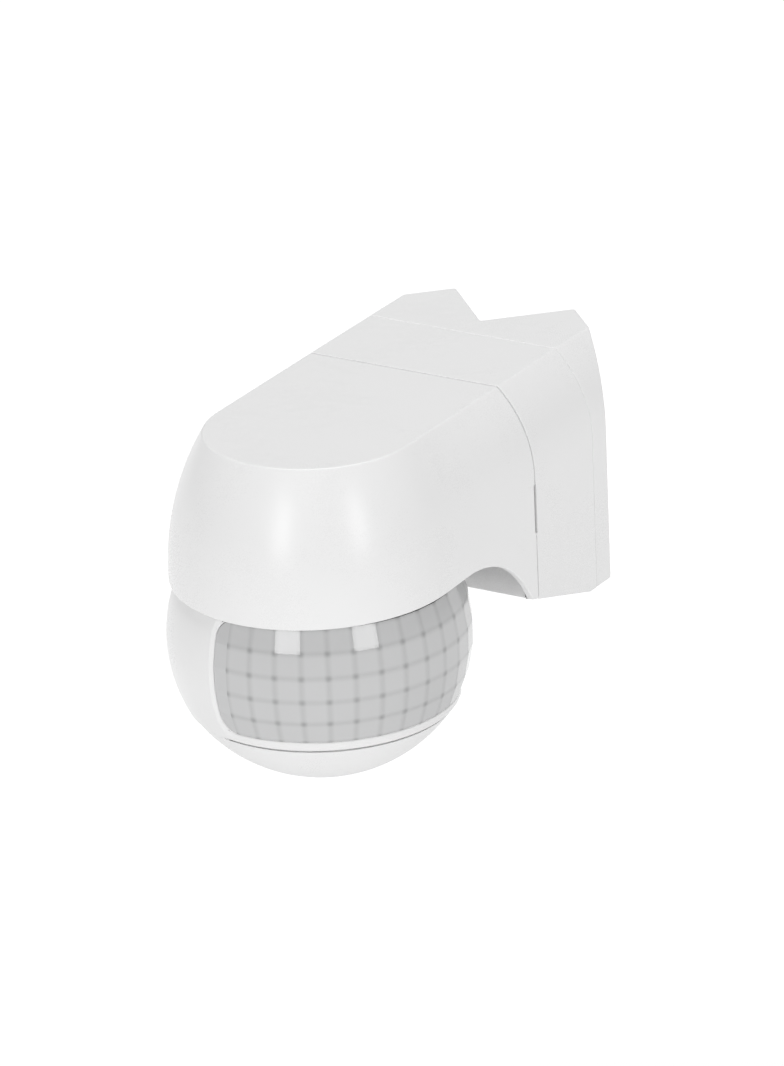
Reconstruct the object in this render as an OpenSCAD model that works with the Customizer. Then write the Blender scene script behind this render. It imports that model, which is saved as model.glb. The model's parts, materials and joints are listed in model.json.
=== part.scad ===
// Motion sensor for a wall or a building corner: a notched rear bracket, a wiring base,
// a pull-off hooded cover, and a ball head with a faceted lens that turns and tilts.
// Millimetres. Origin: middle of the two wall screws, on the wall plane. +Y into the wall, +Z up.

/* [Housing] */
// Width of the housing at the hood's rim
body_w = 58; // [57.5:0.5:60]
// Width of the flat top face
top_w = 42.4; // [40:0.2:44]
// Height over which the shoulder curves from the top face to the upright side, from the seam back
shoulder_h = 17.5; // [15:0.5:19]
// Height over which the shoulder curves round the hood's nose
nose_h = 26; // [22:0.5:27]
// Height of the top face above the wall screws
top_z = 25; // [24:0.5:27]
// Wall of the hooded cover
cover_wall = 1.6; // [1.4:0.1:1.8]
// Wall of the bracket and the base
base_wall = 2; // [1.8:0.1:2.2]
// Top plate of every housing piece
top_wall = 2.2; // [1.8:0.1:2.4]
// Height of the hood's rim below the top face, at the very front
rim_drop = 30.2; // [29.5:0.1:30.5]
// Height of the hood's rim below the top face, where the arch starts
arch_drop = 28.9; // [28.5:0.1:29.5]
// Height of the rear block
rear_h = 49.4; // [48:0.2:51]
// Height of the block's front face, at the foot of the arch
front_h = 42.7; // [42:0.1:44]

/* [Depths from the wall] */
// Wall plane to the bracket's front edge
bracket_d = 20.5; // [19.5:0.5:21.5]
// Wall plane to the bend in the base's floor
bend_d = 22.9; // [22.5:0.1:24]
// Wall plane to the seam between base and cover
seam_d = 43; // [42.5:0.5:43.5]
// Wall plane to the front face of the cover's bulkhead
bulkhead_d = 45.3; // [44.8:0.1:45.6]
// Wall plane to the axis that the head turns about
head_d = 77.5; // [77:0.5:80]
// Depth of the corner notch
notch_d = 13.4; // [12:0.2:14]
// Width of the flat at each rear tip
tip_flat = 0.6; // [0.4:0.1:1]
// Radius of the arch in the cover's lower edge
arch_r = 26; // [24:1:32]

/* [Head] */
// Radius of the ball head
ball_r = 30; // [29.5:0.1:30]
// Height of the ball's centre below the top face
ball_drop = 42; // [41:0.5:43]
// Height of the ball's lowest point below its centre
cap_drop = 28.5; // [28:0.1:29]
// Wall of the head shell
head_wall = 2.4; // [2.2:0.1:2.6]
// Angle that the head is turned towards +X as it stands
head_turn = 65; // [-80:1:80]
// Half of the lens window's width, in degrees
window_half = 78.5; // [70:0.5:79]
// Lower edge of the lens window, in degrees
window_low = -24.5; // [-26:0.5:-22]
// Upper edge of the lens window, in degrees
window_high = 23; // [20:0.5:24]
// Thickness of the lens
lens_t = 0.8; // [0.6:0.1:0.8]
// Depth of the lens's face below the ball's skin
lens_sink = 0.3; // [0.2:0.1:0.5]

/* [Fixings] */
// Radius of the wall screw holes
wall_hole_r = 2.25; // [2:0.05:2.5]
// Radius of the cable's way through the rubber grommet
cable_r = 3.5; // [3:0.1:4]
// Number of poles of the terminal block
poles = 4; // [3:1:4]

/* [Hidden] */
$fn = 96;
eps = 0.01;
far = 150;
diag = sqrt(2);

half_w = body_w / 2;
bulge = half_w - top_w / 2;
bottom_z = top_z - rear_h;
ceiling_z = top_z - top_wall;
tip_out = notch_d + tip_flat;
tip_mid = notch_d + tip_flat / 2;
seam_gap = 0.1;
seam_y = -seam_d;
cover_y = seam_y - seam_gap;
bracket_y = -bracket_d;
head_y = -head_d;
ball_z = top_z - ball_drop;
arch_rise = front_h - arch_drop;
arch_y = -bulkhead_d - sqrt(2 * arch_r * arch_rise - arch_rise * arch_rise);
front_y = head_y - half_w;
head_gap = 0.35;

bulkhead_y = -bulkhead_d;
bend_y = -bend_d;
front_bottom_z = top_z - front_h;
lip_gap = 0.1;
lip_in = base_wall + lip_gap;
lip_t = 1.2;
lip_len = 2.4;
spring_x = half_w - lip_in - lip_t - 0.5;
slit_l = 10;
slit_top_z = top_z - 19.3;
slit_w = 0.8;
slit_d = 1.3;

plate_y = bracket_y - base_wall;
boss_r = 3;
boss_x = 17;
boss_heights = [-15, 19];
thread_r = 1.25;
thread_l = 10;
base_hole_r = 1.7;
base_head_r = 2.8;
base_head_h = 1.8;
wall_boss_r = 4.75;
wall_boss_y = -8;
corner_hole_z = -13;
passage_w = 8;
passage_h = 12;
passage_z = 6;
base_passage = [9, 4, 8];
base_passage_at = [-14, 9];
entry_x = 14;
entry_y = -13.5;
entry_r = 5.5;
entry_lip = 0.8;
entry_snap = 0.6;
entry_snap_h = 1.4;
plug_dish_wall = 1.5;
gasket_t = 0.75;
gasket_in = 0.8;
gasket_play = 0.05;

ribbon_w = 5;
board_t = 1.6;
board_y = -36;
board_front_y = board_y - board_t;
board_x = 21.5;
board_low_z = -14;
board_top_z = 19.5;
post_x = 19.2;
post_top_z = 17;
post_low_z = -10;
post_r = 2.4;
post_bore_r = 0.8;
relay_size = [14.5, 10.6, 20.2];
relay_at = [-15.8, -13];
tag = [1, board_t + 0.7, 1];
film_size = [13, 11, 6];
film_at = [0.5, -12.5];
can_r = 4;
can_l = 11.5;
can_at = [17.2, -1.5];
varistor_r = 4.9;
varistor_t = 3.5;
connector = [ribbon_w + 2, 3.6, 3.2];

pole_pitch = 5;
block_x = 3.3;
block_wall = 0.6;
block_w = poles * pole_pitch + 2 * block_wall;
block_low_z = 4;
block_h = 12;
block_d = 9.5;
block_front_y = plate_y - block_d;
pin_z = block_low_z + 9;
pin_r = 1;
pin_l = 9.5;
pin_tail = 0.8;
socket_r = pin_r + 0.1;
socket_l = 6;
clamp_z = block_low_z + 3.6;
clamp_y = plate_y - block_d / 2;
clamp = [3.4, 5.2, 4.4];
clamp_play = [0.1, 0.15, 0.2];
clamp_bore_r = 1.45;
wire_hole_r = 1.6;
screw_way_r = 1.7;
clamp_screw_r = 1.2;
clamp_head_r = 1.6;
clamp_head_h = 1.3;
spring = [0.3, 3, 10];
spring_z = -4;
spring_play = 1.2;

neck_r = 6;
neck_bore_r = 4;
neck_play = 0.06;
neck_top_z = 20.4;
hub_low_z = top_z - 10.8;
ledge_z = top_z - 5.6;
hub_r = 10;
flange_r = 18;
flange_low_z = top_z - 4.7;
flange_hole_r = 14.5;
clip_r = 8;
ribbon_t = 0.8;
ribbon_z = ceiling_z - 1.4;
ribbon_way = 8;
ribbon_way_h = 2.6;
ribbon_play = 0.7;
ribbon_drop_y = -39.8;
socket_angles = [60, 180, 300];

pivot_r = 1.5;
pivot_play = 0.05;
arm_in = 7.5;
arm_t = 3;
arm_out = arm_in + arm_t;
arm_half = 4;
bridge_low = 13;
bridge_t = 3;
pivot_boss_r = 2.9;
pivot_boss_in = arm_out + 0.5;
pivot_end = 22;

inner_r = ball_r - head_wall;
lens_r = ball_r - 1.1;
lens_gap = 0.05;
lens_edge = 2.5;
lens_face_r = ball_r - lens_sink;
lens_play = 0.2;
slit_mid = -14.5;
slit_half = 0.3;
shell_low = slit_mid + slit_half;
cap_high = slit_mid - slit_half;
cap_edge_r = 26;
cap_rise = (cap_edge_r * cap_edge_r + cap_high * cap_high - cap_drop * cap_drop)
    / (2 * (cap_drop + cap_high));
cap_r = cap_drop + cap_rise;
cap_wall = 2.2;
slot_half = 17;
slot_r = neck_r + 0.6;
spigot_r = 23;
spigot_t = 1.8;
spigot_h = 2.6;
screw_ring = 21.5;
head_seat = 1.2;
screw_boss_r = 3.2;
boss_lift = 0.3;
screw_angles = [90, 40, 140];
cap_boss_ring = 14;
cap_boss_angles = [30, 150, 270];
knob_angles = [90, 210, 330];
adjust_r = 17.5;
adjust_z = -17;
face_y = -10;
knob_ring = 10;
knob_r = 4;
knob_low = -25.3;
knob_h = 3;
knob_stem_r = 1.5;
knob_hole_r = knob_r + 0.4;
trimmer_w = 7;
trimmer_h = 4.5;

// ---------------------------------------------------------------- housing outline

// Half of the housing's cross-section, top face at height 0, from x_from outwards.
// curve_h is the height of its shoulder
module half_section(inset, top_inset, x_from, h, curve_h) {
    curve_r = (bulge * bulge + curve_h * curve_h) / (2 * bulge);
    intersection() {
        translate([half_w - curve_r, -curve_h]) circle(r = curve_r - inset);
        translate([x_from, -curve_h]) square([body_w, curve_h - top_inset]);
    }
    translate([x_from, -h]) square([half_w - inset - x_from, h - curve_h]);
}

// The straight part of the housing between two depths
module housing_slab(y_rear, y_front, inset = 0, top_inset = 0, h = rear_h, curve_h = shoulder_h) {
    translate([0, y_rear, top_z]) rotate([90, 0, 0]) linear_extrude(y_rear - y_front) {
        half_section(inset, top_inset, -1, h, curve_h);
        mirror([1, 0]) half_section(inset, top_inset, -1, h, curve_h);
    }
}

// The cover's whole mass from y_rear forwards: its shoulder widens to the nose, which is round
module hood_mass(y_rear, inset = 0, top_inset = 0, h = rear_h) {
    translate([0, head_y, top_z]) rotate([0, 0, 180]) rotate_extrude(angle = 180)
        half_section(inset, top_inset, 0, h, nose_h);
    hull() {
        housing_slab(y_rear, y_rear - eps, inset, top_inset, h);
        housing_slab(head_y + eps, head_y, inset, top_inset, h, nose_h);
    }
}

// Plan of the rear block, with the corner notch and the two 45 degree faces, moved in by a wall
module rear_plan(wall = 0) {
    d = wall * diag;
    tips = wall > 0 ? [[tip_mid, tip_flat / 2 - d]] : [[notch_d, 0], [tip_out, 0]];
    left = [for (i = [len(tips) - 1:-1:0]) [-tips[i][0], tips[i][1]]];
    polygon(concat([[0, -notch_d - d]], tips, [[tip_out - d + far, -far], [d - tip_out - far, -far]], left));
}

// Side outline under the base, cut along the sloping bottom
module under_base(wall = 0) {
    translate([-far, 0, 0]) rotate([90, 0, 90]) linear_extrude(2 * far)
        polygon([[bend_y, bottom_z + wall], [far, bottom_z + wall], [far, -far], [-far, -far],
            [-far, front_bottom_z + wall], [bulkhead_y, front_bottom_z + wall]]);
}

// ---------------------------------------------------------------- root: bracket and base

module corner_bracket() {
    color("white") difference() {
        intersection() {
            union() {
                difference() {
                    housing_slab(0, bracket_y);
                    intersection() {
                        housing_slab(eps, bracket_y - eps, base_wall, top_wall, rear_h - base_wall);
                        translate([0, 0, bottom_z]) linear_extrude(rear_h) rear_plan(base_wall);
                    }
                }
                for (s = [-1, 1]) {
                    translate([s * tip_mid, wall_boss_y, 0]) rotate([-90, 0, 0])
                        cylinder(r = wall_boss_r, h = -wall_boss_y);
                    for (z = boss_heights) translate([s * boss_x, bracket_y, z])
                        rotate([-90, 0, 0]) cylinder(r = boss_r, h = bracket_d);
                }
            }
            translate([0, 0, bottom_z - 1]) linear_extrude(rear_h + 2) rear_plan();
        }
        for (s = [-1, 1]) {
            translate([s * tip_mid, -bracket_d, 0]) rotate([-90, 0, 0])
                cylinder(r = wall_hole_r, h = bracket_d + 1);
            for (z = boss_heights) translate([s * boss_x, bracket_y - 1, z])
                rotate([-90, 0, 0]) cylinder(r = thread_r, h = thread_l + 2);
            translate([s * notch_d / 2, -notch_d / 2, corner_hole_z]) rotate([90, 0, s * 45])
                translate([0, 0, -1]) cylinder(r = wall_hole_r, h = 5);
            translate([s * entry_x, entry_y, bottom_z - 1]) cylinder(r = entry_r, h = 4);
        }
        translate([-passage_w / 2, -notch_d - passage_w / 2, passage_z])
            cube([passage_w, passage_w + 1, passage_h]);
    }
}

module wall_base() {
    color("white") difference() {
        housing_slab(bracket_y, seam_y + seam_gap);
        difference() {
            housing_slab(plate_y, seam_y - 1, base_wall, top_wall, rear_h - base_wall);
            under_base(base_wall);
        }
        under_base();
        difference() {
            housing_slab(seam_y + seam_gap + gasket_t, seam_y - 1, gasket_in, gasket_in);
            under_base(gasket_in);
        }
        for (s = [-1, 1]) {
            for (z = boss_heights) translate([s * boss_x, plate_y - 1, z])
                rotate([-90, 0, 0]) cylinder(r = base_hole_r, h = base_wall + 2);
            side_slit(s);
        }
        translate([base_passage_at[0], plate_y - 1, base_passage_at[1]]) cube(base_passage);
    }
}

// Screwdriver slit on one side of the seam
module side_slit(side) {
    translate([side * (half_w - slit_d / 2 + 0.5), seam_y, slit_top_z - slit_l / 2])
        cube([slit_d + 1, slit_w, slit_l], center = true);
}

// Cross-shaped driver recess: length over its arms, width of an arm, and height of the cut
module cross_recess(l, w, h) {
    translate([-l / 2, -w / 2, 0]) cube([l, w, h]);
    translate([-w / 2, -l / 2, 0]) cube([w, l, h]);
}

module base_screws() {
    color("silver") for (s = [-1, 1], z = boss_heights)
        translate([s * boss_x, plate_y, z]) rotate([90, 0, 0]) difference() {
            union() {
                cylinder(r = base_head_r, h = base_head_h);
                translate([0, 0, -thread_l]) cylinder(r = thread_r - 2 * eps, h = thread_l + eps);
            }
            translate([0, 0, base_head_h / 2]) cross_recess(4, 0.8, 2);
        }
}

// Round rubber fitting held in a hole of the bracket's floor, with a bore if bore_r is over 0
module floor_fitting(x, bore_r) {
    translate([x, entry_y, bottom_z]) difference() {
        rotate_extrude() polygon([[0, -1], [entry_r + entry_lip, -1], [entry_r + entry_lip, 0], [entry_r, 0],
            [entry_r, base_wall], [entry_r + entry_snap, base_wall], [entry_r, base_wall + entry_snap_h],
            [0, base_wall + entry_snap_h]]);
        if (bore_r > 0) translate([0, 0, -2]) cylinder(r = bore_r, h = 8);
        if (bore_r == 0) translate([0, 0, -2]) cylinder(r = entry_r - plug_dish_wall, h = 3);
    }
}

module cable_grommet() {
    color("dimgray") floor_fitting(-entry_x, cable_r);
}

module blanking_plug() {
    color("whitesmoke") floor_fitting(entry_x, 0);
}

module seam_gasket() {
    color("black") difference() {
        housing_slab(seam_y + seam_gap + gasket_t, seam_y + seam_gap + gasket_play, gasket_in, gasket_in);
        difference() {
            housing_slab(seam_y + 2, seam_y - 1, base_wall, top_wall);
            under_base(base_wall);
        }
        under_base(gasket_in);
    }
}

// Place of one pole across the block
function pole_x(i) = block_x + pole_pitch * i;

module terminal_block() {
    color("gray") difference() {
        translate([block_x - pole_pitch / 2 - block_wall, block_front_y, block_low_z])
            cube([block_w, block_d, block_h]);
        for (i = [0:poles - 1]) translate([pole_x(i), 0, 0]) {
            translate([0, block_front_y - 1, pin_z]) rotate([-90, 0, 0])
                cylinder(r = socket_r, h = socket_l + 1);
            translate([0, clamp_y, clamp_z]) cube(clamp + 2 * clamp_play, center = true);
            translate([0, clamp_y, block_low_z - 1]) cylinder(r = wire_hole_r, h = 3);
            translate([0, block_front_y - 1, clamp_z]) rotate([-90, 0, 0]) cylinder(r = screw_way_r, h = 4);
        }
    }
}

module terminal_clamps() {
    color("goldenrod") for (i = [0:poles - 1]) translate([pole_x(i), clamp_y, clamp_z]) difference() {
        cube(clamp, center = true);
        translate([0, 0, -3]) cylinder(r = clamp_bore_r, h = 4);
        rotate([90, 0, 0]) cylinder(r = clamp_screw_r + 2 * eps, h = 4);
    }
}

module terminal_screws() {
    seat_y = clamp_y - clamp[1] / 2 - pivot_play;
    color("silver") for (i = [0:poles - 1]) translate([pole_x(i), seat_y, clamp_z]) difference() {
        union() {
            rotate([90, 0, 0]) cylinder(r = clamp_head_r, h = clamp_head_h);
            rotate([-90, 0, 0]) cylinder(r = clamp_screw_r, h = 1.2);
        }
        translate([-2, -1.8, -0.3]) cube([4, 1.1, 0.6]);
    }
}

module release_springs() {
    color("silver") for (s = [-1, 1]) mirror([s < 0 ? 1 : 0, 0, 0]) {
        translate([spring_x, seam_y + spring_play, spring_z])
            cube([spring[0], plate_y - seam_y - spring_play, spring[2]]);
        translate([spring_x + spring[0] - spring[1], plate_y - spring[0], spring_z])
            cube([spring[1], spring[0], spring[2]]);
    }
}

// ---------------------------------------------------------------- cover and what it carries

// Everything under the hood's rim and the arch
module under_hood() {
    arc_z = top_z - arch_drop - arch_r;
    translate([-far, 0, 0]) rotate([90, 0, 90]) linear_extrude(2 * far) {
        polygon([[-far, -far], [-far, top_z - rim_drop], [front_y, top_z - rim_drop],
            [arch_y, top_z - arch_drop], [arch_y, -far]]);
        intersection() {
            translate([arch_y - 1, -far]) square([bulkhead_y - arch_y + 1, 2 * far]);
            union() {
                translate([arch_y, arc_z]) circle(r = arch_r);
                translate([arch_y - 1, arc_z - far]) square([arch_r, far]);
            }
        }
    }
}

module front_cover() {
    color("white") difference() {
        union() {
            difference() {
                hood_mass(cover_y);
                hood_mass(bulkhead_y, cover_wall, top_wall, far);
                under_hood();
            }
            difference() {
                housing_slab(seam_y + lip_len, cover_y - eps, lip_in, top_wall + lip_gap);
                housing_slab(seam_y + lip_len + 1, cover_y - 1, lip_in + lip_t, top_wall + lip_gap + lip_t);
                under_base(lip_in);
            }
            difference() {
                housing_slab(seam_y + lip_len, cover_y - eps, lip_in, top_wall + lip_gap);
                housing_slab(seam_y + lip_len + 1, cover_y - 1, lip_in - eps, top_wall,
                    front_h - lip_in - lip_t);
                under_base(lip_in);
            }
            for (s = [-1, 1], z = [post_low_z, post_top_z]) translate([s * post_x, cover_y - 1, z])
                rotate([-90, 0, 0]) cylinder(r = post_r, h = board_front_y - cover_y + 1);
        }
        under_base();
        translate([0, head_y, ball_z]) sphere(r = ball_r + head_gap);
        for (s = [-1, 1]) {
            side_slit(s);
            for (z = [post_low_z, post_top_z]) translate([s * post_x, cover_y + 0.5, z])
                rotate([-90, 0, 0]) cylinder(r = post_bore_r, h = 10);
        }
        translate([-ribbon_way / 2, bulkhead_y - 1, ceiling_z - ribbon_way_h])
            cube([ribbon_way, lip_len + bulkhead_d - seam_d + 3, ribbon_way_h]);
        for (a = socket_angles)
            translate([flange_hole_r * cos(a), head_y + flange_hole_r * sin(a), ceiling_z - 1])
                cylinder(r = 1, h = 2.4);
    }
}

module power_board() {
    color("darkgreen") difference() {
        translate([-board_x, board_front_y, board_low_z])
            cube([2 * board_x, board_t, board_top_z - board_low_z]);
        for (s = [-1, 1], z = [post_low_z, post_top_z]) translate([s * post_x, board_front_y - 1, z])
            rotate([-90, 0, 0]) cylinder(r = 1.1, h = 4);
        for (i = [0:poles - 1]) translate([pole_x(i), board_front_y - 1, pin_z]) rotate([-90, 0, 0])
            cylinder(r = pin_r, h = 4);
        relay_tag();
    }
}

module relay() {
    color("dimgray") union() {
        translate([relay_at[0], board_y, relay_at[1]]) cube(relay_size);
        relay_tag();
    }
}

// Solder tag that holds the relay in the board
module relay_tag() {
    translate([relay_at[0] + 1.5, board_front_y - 0.6, relay_at[1] + 1.5]) cube(tag);
}

module film_capacitor() {
    color("gold") translate([film_at[0], board_y, film_at[1]]) cube(film_size);
}

module storage_capacitor() {
    color("midnightblue") translate([can_at[0], board_y, can_at[1]]) rotate([-90, 0, 0]) difference() {
        cylinder(r = can_r, h = can_l);
        translate([0, 0, 1.2]) rotate_extrude() translate([can_r + 0.2, 0]) circle(r = 0.5, $fn = 24);
        translate([-3, -0.25, can_l - 0.2]) cube([6, 0.5, 1]);
    }
}

module varistor() {
    color("royalblue") translate([-9.5, board_y + 5, 13]) rotate([0, 90, 0])
        cylinder(r = varistor_r, h = varistor_t);
}

module plug_pins() {
    color("goldenrod") for (i = [0:poles - 1]) translate([pole_x(i), board_front_y - pin_tail, pin_z])
        rotate([-90, 0, 0]) cylinder(r = pin_r, h = board_t + pin_l);
}

module board_screws() {
    color("silver") for (s = [-1, 1], z = [post_low_z, post_top_z]) translate([s * post_x, board_y, z])
        rotate([-90, 0, 0]) difference() {
            union() {
                cylinder(r = 1.9, h = 1.3);
                translate([0, 0, -5.5]) cylinder(r = post_bore_r - 2 * eps, h = 5.5 + eps);
            }
            translate([0, 0, 0.7]) cross_recess(4, 0.5, 1);
        }
}

module swivel_socket() {
    color("lightgray") translate([0, head_y, 0]) difference() {
        union() {
            translate([0, 0, hub_low_z]) cylinder(r = hub_r, h = ceiling_z - hub_low_z);
            translate([0, 0, flange_low_z]) cylinder(r = flange_r, h = ceiling_z - flange_low_z);
        }
        translate([0, 0, hub_low_z - 1]) cylinder(r = neck_r + neck_play, h = 20);
        translate([0, 0, ledge_z]) cylinder(r = clip_r + 0.5, h = 20);
        for (a = socket_angles) translate([flange_hole_r * cos(a), flange_hole_r * sin(a), flange_low_z - 1])
            cylinder(r = 1.3, h = 6);
        translate([-ribbon_w / 2 - ribbon_play, 0, ribbon_z - ribbon_play])
            cube([ribbon_w + 2 * ribbon_play, flange_r + 1, 3]);
    }
}

module socket_screws() {
    color("silver") for (a = socket_angles)
        translate([flange_hole_r * cos(a), head_y + flange_hole_r * sin(a), flange_low_z]) difference() {
            union() {
                translate([0, 0, -1.4]) cylinder(r = 2.2, h = 1.4);
                cylinder(r = 0.98, h = 3.6);
            }
            translate([0, 0, -1.5]) cross_recess(5, 0.6, 0.8);
        }
}

module link_ribbon() {
    color("lightsteelblue") translate([-ribbon_w / 2, 0, 0]) {
        translate([0, head_y - ribbon_t / 2, ribbon_z])
            cube([ribbon_w, ribbon_drop_y + ribbon_t - head_y + ribbon_t / 2, ribbon_t]);
        translate([0, head_y - ribbon_t / 2, ball_z + 4]) cube([ribbon_w, ribbon_t, ribbon_z - ball_z - 3.5]);
        translate([0, ribbon_drop_y, board_top_z - 4])
            cube([ribbon_w, ribbon_t, ribbon_z - board_top_z + 4.5]);
        translate([-1, board_front_y - connector[1], board_top_z - 4.5]) cube(connector);
    }
}

// ---------------------------------------------------------------- head

// Puts the head's own frame, lens towards -Y and centre at 0, in its place
module at_head() {
    translate([0, head_y, ball_z]) rotate([0, 0, head_turn]) children();
}

module swivel_neck() {
    color("lightgray") at_head() difference() {
        union() {
            translate([0, 0, bridge_low]) cylinder(r = neck_r, h = neck_top_z - ball_z - bridge_low);
            translate([0, 0, ball_r + 0.3])
                cylinder(r = neck_r + 1.5, h = hub_low_z - ball_z - ball_r - 0.36);
            translate([-arm_out, -neck_r, bridge_low]) cube([2 * arm_out, 2 * neck_r, bridge_t]);
            for (s = [-1, 1]) {
                translate([s * (arm_in + arm_t / 2) - arm_t / 2, -arm_half, 0])
                    cube([arm_t, 2 * arm_half, bridge_low + 1]);
                translate([s * (arm_in + arm_t / 2) - arm_t / 2, 0, 0]) rotate([0, 90, 0])
                    cylinder(r = arm_half, h = arm_t);
            }
        }
        cylinder(r = neck_bore_r, h = far);
        translate([0, 0, ledge_z + 0.1 - ball_z]) ring(5.2, neck_r + 1, 0.7);
        translate([0, 0, 16 - ball_z]) ring(5, neck_r + 1, 1.6);
        translate([-20, 0, 0]) rotate([0, 90, 0]) cylinder(r = pivot_r, h = 40);
    }
}

// Flat ring between two radii
module ring(r_in, r_out, h) {
    difference() {
        cylinder(r = r_out, h = h);
        translate([0, 0, -1]) cylinder(r = r_in, h = h + 2);
    }
}

module neck_clip() {
    color("silver") at_head() translate([0, 0, ledge_z + 0.15 - ball_z]) difference() {
        ring(5.22, clip_r, 0.6);
        translate([-1.6, -far, -1]) cube([3.2, far, 3]);
    }
}

module friction_ring() {
    color("black") at_head() translate([0, 0, 16.8 - ball_z]) rotate_extrude()
        translate([5.5, 0]) circle(r = 0.5, $fn = 32);
}

module pivot_pins() {
    color("silver") at_head() for (s = [-1, 1])
        translate([s * (pivot_end + arm_in) / 2 - (pivot_end - arm_in) / 2, 0, 0]) rotate([0, 90, 0])
            cylinder(r = pivot_r, h = pivot_end - arm_in);
}

// Part of a ball's skin between two radii and two latitudes, centred on -Y
module skin_patch(r_in, r_out, low, high, az_half) {
    reach = 2 * r_out;
    rotate([0, 0, -90 - az_half]) rotate_extrude(angle = 2 * az_half) intersection() {
        difference() {
            circle(r = r_out);
            circle(r = r_in);
        }
        polygon([[0, 0], [reach * cos(low), reach * sin(low)], [reach * cos(high), reach * sin(high)]]);
    }
}

module head_shell() {
    color("white") at_head() difference() {
        union() {
            rotate_extrude() intersection() {
                difference() {
                    circle(r = ball_r);
                    circle(r = inner_r);
                }
                translate([0, shell_low]) square(far);
            }
            for (s = [-1, 1]) translate([s * (pivot_boss_in + inner_r + 1) / 2, 0, 0]) rotate([0, 90, 0])
                cylinder(r = pivot_boss_r, h = inner_r + 1 - pivot_boss_in, center = true);
            for (a = screw_angles) rotate([0, 0, a]) translate([screw_ring, 0, shell_low + boss_lift]) {
                cylinder(r = screw_boss_r, h = 8);
                translate([0, -1.2, 0.4]) cube([4, 2.4, 7]);
            }
        }
        skin_patch(inner_r - 1, ball_r + 1, window_low, window_high, window_half);
        skin_patch(inner_r - 0.5, lens_r + lens_gap, window_low - 8, window_high + lens_edge + 0.5,
            window_half + lens_edge + 0.5);
        linear_extrude(far) {
            square([2 * slot_r, 2 * (slot_half - slot_r)], center = true);
            for (s = [-1, 1]) translate([0, s * (slot_half - slot_r)]) circle(r = slot_r);
        }
        for (s = [-1, 1]) translate([s * 17, 0, 0]) rotate([0, 90, 0])
            cylinder(r = pivot_r + pivot_play, h = 14, center = true);
        for (a = screw_angles) rotate([0, 0, a]) translate([screw_ring, 0, shell_low - 1])
            cylinder(r = 1, h = 7);
    }
}

module fresnel_lens() {
    color("whitesmoke") at_head() intersection() {
        union() {
            skin_patch(lens_r - lens_t, lens_r, window_low - 5, window_high + lens_edge,
                window_half + lens_edge);
            skin_patch(lens_r - lens_t / 2, lens_face_r, window_low + lens_play, window_high - lens_play,
                window_half - lens_play);
        }
        translate([0, 0, shell_low + lens_gap]) cylinder(r = far, h = far);
    }
}

module lens_retainer() {
    color("gainsboro") at_head() intersection() {
        difference() {
            skin_patch(inner_r - 0.5, lens_r - lens_t - lens_gap, window_low - 5, window_high + lens_edge,
                window_half + lens_edge);
            skin_patch(inner_r - 2, lens_r, window_low + 0.5, window_high - 0.5, window_half - 0.5);
        }
        translate([0, 0, shell_low + lens_gap]) cylinder(r = far, h = far);
    }
}

module bottom_cap() {
    color("white") at_head() difference() {
        union() {
            intersection() {
                translate([0, 0, cap_rise]) difference() {
                    sphere(r = cap_r);
                    sphere(r = cap_r - cap_wall);
                }
                translate([0, 0, cap_high - far]) cylinder(r = far, h = far);
            }
            difference() {
                translate([0, 0, cap_high - 2.2]) ring(spigot_r - spigot_t, spigot_r, spigot_h + 2.2);
                for (a = screw_angles) rotate([0, 0, a]) translate([screw_ring, 0, cap_high])
                    cylinder(r = screw_boss_r + 0.3, h = 9);
            }
            intersection() {
                translate([0, 0, cap_rise]) sphere(r = cap_r - 1);
                union() {
                    for (a = cap_boss_angles) rotate([0, 0, a]) translate([cap_boss_ring, 0, -far + adjust_z])
                        cylinder(r = 1.8, h = far);
                    for (a = screw_angles) rotate([0, 0, a]) translate([screw_ring, 0, cap_high - 6])
                        cylinder(r = screw_boss_r, h = 6);
                }
            }
        }
        for (a = screw_angles) rotate([0, 0, a]) translate([screw_ring, 0, -far]) {
            cylinder(r = 1.3, h = 2 * far);
            cylinder(r = 2.4, h = far + cap_high - head_seat);
        }
        for (a = knob_angles) rotate([0, 0, a]) translate([knob_ring, 0, -far])
            cylinder(r = knob_hole_r, h = far - 20);
    }
}

module sensor_board() {
    color("darkgreen") at_head()
        translate([-11, face_y - board_t, adjust_z + board_t]) cube([22, board_t, 24]);
}

module pyro_sensor() {
    color("silver") at_head() translate([0, face_y - board_t, 0]) rotate([90, 0, 0]) difference() {
        union() {
            cylinder(r = 4.9, h = 0.5);
            cylinder(r = 4.3, h = 4.2);
        }
        translate([-2, -1.5, 3.6]) cube([4, 3, 1]);
    }
}

module pyro_window() {
    color("black") at_head() translate([-1.95, face_y - board_t - 4.1, -1.45]) cube([3.9, 0.45, 2.9]);
}

module light_sensor() {
    color("orange") at_head() translate([7.5, face_y - board_t, -7]) rotate([90, 0, 0]) union() {
        cylinder(r = 2.5, h = 1.8);
        translate([-1.5, -0.4, 1.8]) cube([3, 0.8, 0.2]);
    }
}

module indicator_led() {
    color("red") at_head() translate([-7.5, face_y - board_t, -7]) rotate([90, 0, 0]) union() {
        cylinder(r = 1.9, h = 1);
        cylinder(r = 1.5, h = 3);
        translate([0, 0, 3]) sphere(r = 1.5, $fn = 32);
    }
}

module adjust_board() {
    color("darkgreen") at_head() translate([0, 0, adjust_z]) cylinder(r = adjust_r, h = board_t);
}

module trimmers() {
    color("royalblue") at_head() for (a = knob_angles) rotate([0, 0, a]) translate([knob_ring, 0, adjust_z])
        difference() {
            translate([-trimmer_w / 2, -trimmer_w / 2, -trimmer_h]) cube([trimmer_w, trimmer_w, trimmer_h]);
            translate([0, 0, -trimmer_h - 1]) cylinder(r = knob_stem_r + pivot_play, h = 3.4);
        }
}

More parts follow.
